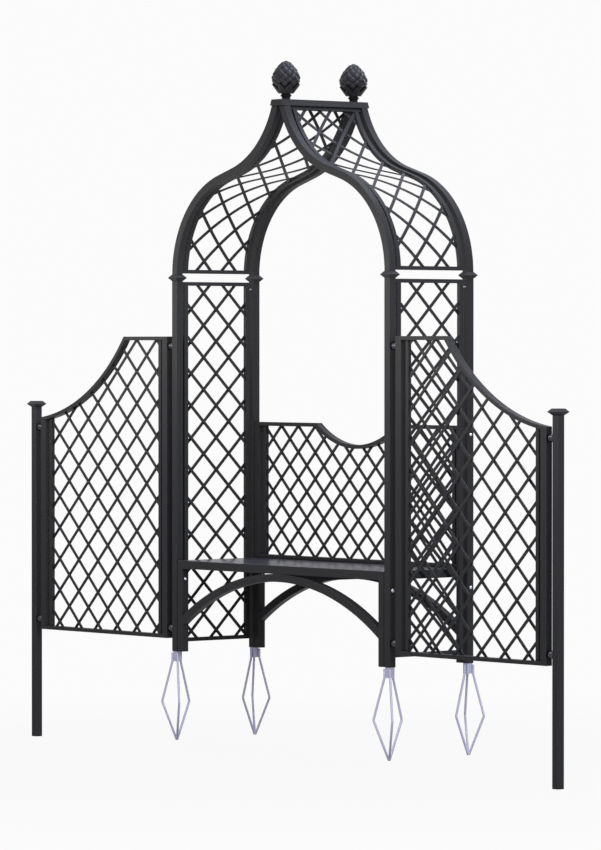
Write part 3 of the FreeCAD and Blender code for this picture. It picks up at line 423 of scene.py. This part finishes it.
def joinRings(mesh, rings):
    # faces from ring to ring and over both ends; a ring of one corner is a point
    for lower, upper in zip(rings, rings[1:]):
        steps = max(len(lower), len(upper))
        for step in range(steps):
            after = (step + 1) % steps
            if len(lower) == 1:
                mesh.faces.new((lower[0], upper[after], upper[step]))
            elif len(upper) == 1:
                mesh.faces.new((lower[step], lower[after], upper[0]))
            else:
                mesh.faces.new((lower[step], lower[after], upper[after], upper[step]))
    for ring in (rings[0][::-1], rings[-1]):
        if len(ring) > 1:
            mesh.faces.new(ring)


def addLathe(mesh, profile, matrix, steps):
    # turns (radius, height) points about the matrix's Z axis
    rings = []
    for radius, height in profile:
        turns = fullTurn(steps) if radius > 0 else [0.0]
        rings.append([mesh.verts.new(matrix @ onRing(radius, turn, height)) for turn in turns])
    joinRings(mesh, rings)


def tipped(place, axis, sign=1):
    # millimetre axes at a place, with Z tipped a quarter turn about X or Y
    quarter = Matrix.Rotation(sign * math.pi / 2, 4, axis)
    return Matrix.Translation(place) @ quarter @ Matrix.Scale(mm, 4)


# Tubes, rails, plates and lattices: the CAD surface with its sharp edges rounded, in mm

softEdges = {
    "posts": {"radius": 3.0, "segments": 3,
              "names": ("post_front", "post_back", "end_post_left", "end_post_right",
                        "bench_front_leg", "bench_back_upright")},
    "wings": {"radius": 2.5, "segments": 3,
              "names": ("wing_inner_upright", "wing_outer_upright", "wing_bottom_rail",
                        "wing_top_rail")},
    "arch": {"radius": 2.5, "segments": 3, "names": ("arch_tube", "roof_rails", "roof_stiles")},
    "panels": {"radius": 2.5, "segments": 3,
               "names": ("side_stiles", "side_rails", "wing_stiles", "backrest_stiles",
                         "backrest_bottom", "backrest_top")},
    "bench": {"radius": 3.0, "segments": 3,
              "names": ("bench_long_rails", "bench_cross_rails", "bench_front_brace",
                        "bench_back_brace")},
    "caps": {"radius": 1.5, "segments": 2, "names": ("post_collars", "end_post_caps", "ridge_cap")},
    "lattices": {"radius": 0.6, "segments": 1,
                 "names": ("roof_lattice", "side_lattice", "wing_lattice", "backrest_lattice")},
    "seat": {"radius": 1.2, "segments": 3, "names": ("seat_plate",)},
}
creaseAngle = math.radians(35)  # edges that fold more than this are rounded


def isCrease(edge):
    if len(edge.link_faces) != 2 or not edge.is_convex:
        return False
    return edge.calc_face_angle(0.0) > creaseAngle


def roundedPiece(nodeName, look, material, slotName):
    mesh = cleanMesh(nodeName)
    creases = [edge for edge in mesh.edges if isCrease(edge)]
    bmesh.ops.bevel(mesh, geom=creases, offset=look["radius"] * mm, offset_type="OFFSET",
                    segments=look["segments"], profile=0.5, affect="EDGES", clamp_overlap=True)
    piece = finishPiece(nodeName + "_visual", mesh, material, [nodeName])
    weighted = piece.modifiers.new("flatFaces", "WEIGHTED_NORMAL")
    weighted.keep_sharp = True


def roundedPieces():
    made = 0
    for kind, look in softEdges.items():
        finish = (seatCoat, "seat_coat") if kind == "seat" else (frameCoat, "frame_coat")
        for nodeName in sorted(cadNodes):
            if nodeName.startswith(look["names"]):
                roundedPiece(nodeName, look, *finish)
                made += 1
    return made


print("rounded tubes and lattices:", roundedPieces())


# Finials: a turned neck and ring, a cup of pointed leaves, and whorls of swelling scales
# over an egg-shaped core, in mm with heights from the finial's foot

finialLook = {
    "height": 200.0, "steps": 48, "perWhorl": 8, "smoothAngle": 38.0,
    # radius and height
    "neck": ((0, 0), (22, 0), (22, 12), (23.5, 14), (27.5, 17), (29, 20), (27.5, 23), (23.5, 26),
             (24, 31), (0, 31)),
    # height and radius
    "core": ((31, 36), (60, 51), (88, 62.5), (107, 64), (130, 59), (150, 48.5), (163, 40),
             (180, 27.5), (190, 17.5), (197, 2)),
    "coreRings": 21,
    "cup": {"foot": 31, "shoulder": 42, "tip": 78, "footRadius": 39.5, "tipRadius": 77.5,
            "round": 5.0, "offset": 0.5},
    # one leaf: half its angle, how deep it roots, its outline and its swelling
    "halfWidth": 23.5, "root": 2.0, "buried": 10.0, "taper": 1.2, "tipWidth": 0.02,
    "footRise": 0.15, "crest": 0.5, "hollow": 0.9, "turnIn": 0.75, "rows": 14, "columns": 11,
}
# foot, shoulder and tip height of each whorl, its turn in leaf steps and its scales' swelling
whorls = (
    (60, 78, 95, 0.0, 9.0), (78, 95, 112, 0.5, 10.5), (95, 112, 132, 0.0, 11.0),
    (112, 132, 154, 0.5, 11.0), (132, 154, 173, 0.0, 10.0), (154, 173, 188, 0.5, 8.0),
    (173, 188, 198, 0.0, 5.0),
)


def coreRadius(height):
    # a smooth line through the core's few stations
    stations = finialLook["core"]
    last = len(stations) - 1
    number = next((place for place in range(last) if height <= stations[place + 1][0]), last - 1)
    (lowHeight, lowRadius), (highHeight, highRadius) = stations[number], stations[number + 1]
    before, after = stations[max(number - 1, 0)], stations[min(number + 2, last)]
    span = highHeight - lowHeight
    share = min(max((height - lowHeight) / span, 0.0), 1.0)
    lowSlope = (highRadius - before[1]) / (highHeight - before[0])
    highSlope = (after[1] - lowRadius) / (after[0] - lowHeight)
    return (lowRadius * (1 + 2 * share) * (1 - share) ** 2
            + highRadius * share ** 2 * (3 - 2 * share)
            + span * lowSlope * share * (1 - share) ** 2
            + span * highSlope * share ** 2 * (share - 1))


def cupRadius(height, side):
    # the straight outer face of a cup leaf, drawn in at its sides
    cup = finialLook["cup"]
    share = (height - cup["foot"]) / (cup["tip"] - cup["foot"])
    flare = (cup["tipRadius"] - cup["footRadius"]) * share
    return cup["footRadius"] + flare - cup["round"] * side ** 2 * share


def scaleRadius(foot, tip, swell):
    # a scale swells from its foot and turns in again towards its tip and sides
    crest, footRise = finialLook["crest"], finialLook["footRise"]

    def radius(height, side):
        share = max((height - foot) / (tip - foot), 0.0)
        if share < crest:
            rise = footRise + (1 - footRise) * math.sin(math.pi / 2 * share / crest)
        else:
            rise = 1 - finialLook["turnIn"] * ((share - crest) / (1 - crest)) ** 2
        return coreRadius(height) + swell * rise * (1 - finialLook["hollow"] * side ** 2)

    return radius


def addLeaf(mesh, place, facing, low, shoulder, tip, radiusAt):
    # a closed leaf, full width up to its shoulder and then narrowing to its tip
    rows, columns = finialLook["rows"], finialLook["columns"]
    halfWidth = math.radians(finialLook["halfWidth"])
    outer, inner = [], []
    for row in range(rows + 1):
        height = low + (tip - low) * row / rows
        narrowed = (max(height - shoulder, 0.0) / (tip - shoulder)) ** finialLook["taper"]
        width = max(1 - narrowed, finialLook["tipWidth"])
        root = coreRadius(height) - finialLook["root"]
        for grid in (outer, inner):
            line = []
            for column in range(columns):
                side = 2 * column / (columns - 1) - 1
                radius = radiusAt(height, side) if grid is outer else root
                point = onRing(radius, facing + side * halfWidth * width, height) * mm
                line.append(mesh.verts.new(place + point))
            grid.append(line)
    for row in range(rows):
        for column in range(columns - 1):
            corners = ((row, column), (row, column + 1), (row + 1, column + 1), (row + 1, column))
            mesh.faces.new([outer[a][b] for a, b in corners])
            mesh.faces.new([inner[a][b] for a, b in corners[::-1]])
    rim = [(row, 0) for row in range(rows, 0, -1)]
    rim += [(0, column) for column in range(columns - 1)]
    rim += [(row, columns - 1) for row in range(rows)]
    rim += [(rows, column) for column in range(columns - 1, 0, -1)]
    for (a, b), (c, d) in zip(rim, rim[1:] + rim[:1]):
        mesh.faces.new((outer[c][d], outer[a][b], inner[a][b], inner[c][d]))


def makeFinial(nodeName):
    low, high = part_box(nodeName)
    base = high.z - finialLook["height"] * mm
    place = Vector(((low.x + high.x) / 2, (low.y + high.y) / 2, base))
    upright = Matrix.Translation(place) @ Matrix.Scale(mm, 4)
    mesh = bmesh.new()
    addLathe(mesh, finialLook["neck"], upright, finialLook["steps"])
    coreFoot, coreTop = finialLook["core"][0][0], finialLook["core"][-1][0]
    rings = finialLook["coreRings"]
    heights = [coreFoot + (coreTop - coreFoot) * ring / (rings - 1) for ring in range(rings)]
    core = [(coreRadius(height), height) for height in heights]
    addLathe(mesh, [(0, coreFoot)] + core + [(0, coreTop)], upright, finialLook["steps"])
    cup = finialLook["cup"]
    leafStep = 2 * math.pi / finialLook["perWhorl"]
    for number in range(finialLook["perWhorl"]):
        facing = number * leafStep
        addLeaf(mesh, place, facing + cup["offset"] * leafStep, cup["foot"], cup["shoulder"],
                cup["tip"], cupRadius)
        for foot, shoulder, tip, offset, swell in whorls:
            addLeaf(mesh, place, facing + offset * leafStep, foot - finialLook["buried"], shoulder,
                    tip, scaleRadius(foot, tip, swell))
    bmesh.ops.recalc_face_normals(mesh, faces=mesh.faces)
    finishPiece(nodeName + "_visual", mesh, finialCasting, [nodeName],
                finialLook["smoothAngle"])


for finialName in ("finial_front", "finial_back"):
    makeFinial(finialName)
print("finials ready")


# Ball spacers: dark polished balls with a short neck against both tubes, in mm

spacerLook = {"diameter": 42.0, "neck": 17.0, "chamfer": 0.6, "steps": 40, "arcs": 20,
              "smoothAngle": 50.0}


def makeBallSpacers():
    mesh = bmesh.new()
    ball, neck = spacerLook["diameter"] / 2, spacerLook["neck"] / 2
    chamfer, arcs = spacerLook["chamfer"], spacerLook["arcs"]
    start = math.asin(neck / ball)
    turns = [start + (math.pi - 2 * start) * step / arcs for step in range(arcs + 1)]
    for low, high in looseBoxes("ball_spacers"):
        half = (high.x - low.x) / 2 / mm
        profile = [(0, -half), (neck - chamfer, -half), (neck, chamfer - half)]
        profile += [(ball * math.sin(turn), -ball * math.cos(turn)) for turn in turns]
        profile += [(neck, half - chamfer), (neck - chamfer, half), (0, half)]
        addLathe(mesh, profile, tipped((low + high) / 2, "Y"), spacerLook["steps"])
    bmesh.ops.recalc_face_normals(mesh, faces=mesh.faces)
    finishPiece("ball_spacers_visual", mesh, polishedSteel, ["ball_spacers"],
                spacerLook["smoothAngle"])


makeBallSpacers()
print("ball spacers ready")


# Bolts: a domed head with a hexagon socket on the post, a cap nut on the leg, washers in the
# bench gap, and grooved spacer sleeves between the side panels and the back posts, in mm

boltShape = {
    "headHeight": 7.0, "rim": 1.0, "socket": 6.0, "socketDepth": 3.0, "chamfer": 1.0,
    "groove": 0.8, "washerLimit": 8.0, "steps": 24, "arcs": 6, "smoothAngle": 45.0,
    "socketRim": 0.65,  # where the dome stops, in socket widths
    "shankShare": 0.5,  # shank to head
    "sleeveRatio": 1.2,  # a sleeve is longer than wide by more than this
    "groovePlace": 0.6,  # from a sleeve's middle to its end
    "headReach": 1.1, "boltReach": 4.0, "headRatio": 1.2,  # how hasHead looks for a head
}


def domeProfile(radius):
    rim, height, arcs = boltShape["rim"], boltShape["headHeight"], boltShape["arcs"]
    turns = [math.pi / 2 * step / arcs for step in range(arcs)]
    dome = [(radius * math.cos(turn), rim + (height - rim) * math.sin(turn)) for turn in turns]
    return [(radius, 0.0)] + dome


def addSocketHead(mesh, radius, matrix):
    socket, turns = boltShape["socket"], fullTurn(boltShape["steps"])
    edge = socket * boltShape["socketRim"]
    profile = [(reach, height) for reach, height in domeProfile(radius) if reach > edge]
    rings = [[onRing(reach, turn, height) for turn in turns] for reach, height in profile]
    hexagon = [socket / 2 / math.cos(turn % (math.pi / 3) - math.pi / 6) for turn in turns]
    top = profile[-1][1]
    for height in (top, top - boltShape["socketDepth"]):
        rings.append([onRing(reach, turn, height) for reach, turn in zip(hexagon, turns)])
    joinRings(mesh, [[mesh.verts.new(matrix @ point) for point in ring] for ring in rings])


def chamferedBar(radius, half):
    chamfer = boltShape["chamfer"]
    return [(0, -half), (radius - chamfer, -half), (radius, chamfer - half),
            (radius, half - chamfer), (radius - chamfer, half), (0, half)]


def groovedSleeve(radius, half):
    # a turned groove towards both ends of a spacer sleeve
    groove = boltShape["groove"]
    profile = [(0, -half), (radius, -half)]
    for sign in (-1, 1):
        middle = sign * half * boltShape["groovePlace"]
        profile += [(radius, middle - groove), (radius - groove, middle - groove / 2),
                    (radius - groove, middle + groove / 2), (radius, middle + groove)]
    return profile + [(radius, half), (0, half)]


def hasHead(points, end, middle, shank):
    # whether the CAD bolt widens close to this end
    reaches = [math.hypot(point.y - middle.y, point.z - middle.z) for point in points
               if abs(point.x - end) <= boltShape["headHeight"] * mm * boltShape["headReach"]]
    own = [reach for reach in reaches if reach < boltShape["boltReach"] * shank]
    return max(own) > boltShape["headRatio"] * shank


def addBolt(mesh, points, middle, size):
    headHeight, steps = boltShape["headHeight"], boltShape["steps"]
    radius = size.z / 2
    shank = radius * boltShape["shankShare"]
    for sign in (-1, 1):
        end = middle.x + sign * size.x / 2 * mm
        if not hasHead(points, end, middle, shank * mm):
            continue
        seat = tipped(Vector((end - sign * headHeight * mm, middle.y, middle.z)), "Y", sign)
        if sign * middle.x > 0:
            addSocketHead(mesh, radius, seat)
        else:
            addLathe(mesh, [(0, 0)] + domeProfile(radius) + [(0, headHeight)], seat, steps)
    addLathe(mesh, chamferedBar(shank, size.x / 2 - headHeight), tipped(middle, "Y"), steps)


def makeBolts():
    mesh = bmesh.new()
    points = [vert.co for vert in cadNodes["fixing_bolts"].data.vertices]
    for low, high in looseBoxes("fixing_bolts"):
        middle = (low + high) / 2
        size = (high - low) / mm
        if size.x < boltShape["washerLimit"]:
            washer = chamferedBar(size.z / 2, size.x / 2)
            addLathe(mesh, washer, tipped(middle, "Y"), boltShape["steps"])
        elif size.y > size.z * boltShape["sleeveRatio"]:
            sleeve = groovedSleeve(size.z / 2, size.y / 2)
            addLathe(mesh, sleeve, tipped(middle, "X", -1), boltShape["steps"])
        else:
            addBolt(mesh, points, middle, size)
    bmesh.ops.recalc_face_normals(mesh, faces=mesh.faces)
    finishPiece("fixing_bolts_visual", mesh, boltZinc, ["fixing_bolts"],
                boltShape["smoothAngle"])


makeBolts()
print("bolts ready")


# Ground anchors: the CAD shape with smooth rods. Hidden sleeves and studs get the same finish

anchorLook = {"smoothAngle": 35.0, "hidden": ("joint_sleeves", "spacer_studs")}


def makeAnchors():
    for nodeName in sorted(cadNodes):
        if nodeName.startswith("ground_anchor"):
            finishPiece(nodeName + "_visual", cleanMesh(nodeName), galvanised,
                        [nodeName], anchorLook["smoothAngle"])
    for nodeName in anchorLook["hidden"]:
        for materialSlot in cadNodes[nodeName].material_slots:
            materialSlot.link = "OBJECT"
            materialSlot.material = galvanised


makeAnchors()
print("anchors ready")


# Backdrop, light and camera

backdropLook = {
    "white": 0.967, "ambient": 0.12, "ambientColor": (0.96, 0.98, 1.0, 1),
    "floorColor": (0.35, 0.35, 0.35, 1), "floorRoughness": 0.9, "floorReach": 70.0,
    "floorGap": 1.0,  # mm below the lowest point
    # share of plain white in what the camera sees of the floor, by metres from the middle
    "fade": {"From Min": 2.0, "From Max": 5.0, "To Min": 0.965, "To Max": 1.0},
}


def mixShaders(tree, factor, first, second):
    mix = addNode(tree, "ShaderNodeMixShader")
    for place, item in enumerate((factor, first, second)):
        tree.links.new(item, mix.inputs[place])
    return mix.outputs[0]


def whiteForViewer(tree, lit, white):
    # the camera, reflections and glass see plain white; everything else sees the lit shader
    path = addNode(tree, "ShaderNodeLightPath")
    mirrored = mathNode(tree, "MAXIMUM", path.outputs["Is Glossy Ray"],
                        path.outputs["Is Transmission Ray"])
    seen = mathNode(tree, "MAXIMUM", path.outputs["Is Camera Ray"], mirrored)
    return mixShaders(tree, seen, lit, white)


def makeWorld():
    world = bpy.data.worlds.new("studio")
    world.use_nodes = True
    bpy.context.scene.world = world
    tree = world.node_tree
    soft = tree.nodes["Background"]
    soft.inputs["Color"].default_value = backdropLook["ambientColor"]
    soft.inputs["Strength"].default_value = backdropLook["ambient"]
    white = addNode(tree, "ShaderNodeBackground", Color=(1, 1, 1, 1),
                    Strength=backdropLook["white"])
    feed(tree, whiteForViewer(tree, soft.outputs[0], white.outputs[0]),
         tree.nodes["World Output"].inputs["Surface"])


def floorMaterial():
    material, tree, shader = newMaterial("paleFloor")
    shader.inputs["Base Color"].default_value = backdropLook["floorColor"]
    shader.inputs["Roughness"].default_value = backdropLook["floorRoughness"]
    shader.inputs["Specular IOR Level"].default_value = 0.0
    glow = addNode(tree, "ShaderNodeEmission", Color=(1, 1, 1, 1), Strength=backdropLook["white"])
    coords = addNode(tree, "ShaderNodeTexCoord")
    length = addNode(tree, "ShaderNodeVectorMath", operation="LENGTH")
    wire(tree, coords, "Object", length, 0)
    fade = addNode(tree, "ShaderNodeMapRange", interpolation_type="SMOOTHSTEP")
    wire(tree, length, "Value", fade, "Value")
    for label, setting in backdropLook["fade"].items():
        fade.inputs[label].default_value = setting
    pale = mixShaders(tree, fade.outputs["Result"], shader.outputs[0], glow.outputs[0])
    feed(tree, whiteForViewer(tree, shader.outputs[0], pale),
         tree.nodes["Material Output"].inputs["Surface"])
    return material


def makeFloor():
    reach = backdropLook["floorReach"]
    level = cadLow.z - backdropLook["floorGap"] * mm
    mesh = bmesh.new()
    mesh.faces.new([mesh.verts.new((x * reach, y * reach, level))
                    for x, y in ((-1, -1), (1, -1), (1, 1), (-1, 1))])
    data = bpy.data.meshes.new("studioFloor")
    mesh.to_mesh(data)
    mesh.free()
    data.materials.append(floorMaterial())
    floor = bpy.data.objects.new("studioFloor", data)
    bpy.context.scene.collection.objects.link(floor)


# metres and watts: panel and front light the front faces, side the right-hand faces,
# top the seat and back the rear
lampLook = {
    "panel": {"place": (0.0, -1.3, 1.9), "aim": (0.0, 0.0, 1.9), "size": (8.0, 0.8),
              "power": 50.0, "color": (1.0, 0.98, 0.94)},
    "front": {"place": (1.9, -6.0, 4.2), "aim": (0.0, 0.0, 1.6), "size": (1.2, 4.5),
              "power": 120.0, "color": (1.0, 0.99, 0.97)},
    "top": {"place": (0.8, 0.8, 6.5), "aim": (0.0, 0.0, 1.5), "size": (4.0, 3.0),
            "power": 270.0, "color": (0.78, 0.84, 1.0)},
    "side": {"place": (13.0, -2.0, 8.0), "aim": (0.0, 0.0, 1.5), "size": (6.0, 6.0),
             "power": 1150.0, "color": (0.88, 0.92, 1.0)},
    "back": {"place": (-0.5, 9.0, 4.5), "aim": (0.0, 0.0, 1.2), "size": (3.0, 3.0),
             "power": 270.0, "color": (0.95, 0.97, 1.0)},
}


def makeLamp(name, look):
    data = bpy.data.lights.new(name, "AREA")
    data.shape = "RECTANGLE"
    data.size, data.size_y = look["size"]
    data.energy = look["power"]
    data.color = look["color"]
    lamp = bpy.data.objects.new(name, data)
    lamp.location = look["place"]
    sight = Vector(look["aim"]) - Vector(look["place"])
    lamp.rotation_euler = sight.to_track_quat("-Z", "Y").to_euler()
    lamp.visible_camera = False
    bpy.context.scene.collection.objects.link(lamp)


# place in metres, tilt and turn in degrees, lens in mm
cameraLook = {"place": (19.3515, -16.2922, 1.6077), "tilt": 0.9389, "turn": 50.1315,
              "lens": 208.39, "farthest": 500.0}


def makeCamera():
    data = bpy.data.cameras.new("photoCamera")
    data.lens = cameraLook["lens"]
    data.clip_end = cameraLook["farthest"]
    camera = bpy.data.objects.new("photoCamera", data)
    camera.location = cameraLook["place"]
    camera.rotation_euler = (math.radians(90 - cameraLook["tilt"]), 0.0,
                             math.radians(cameraLook["turn"]))
    bpy.context.scene.collection.objects.link(camera)
    bpy.context.scene.camera = camera


makeWorld()
makeFloor()
for lampName, lampSettings in lampLook.items():
    makeLamp(lampName + "Lamp", lampSettings)
makeCamera()
bpy.context.scene.view_settings.view_transform = "Standard"
print("floor, light and camera ready")
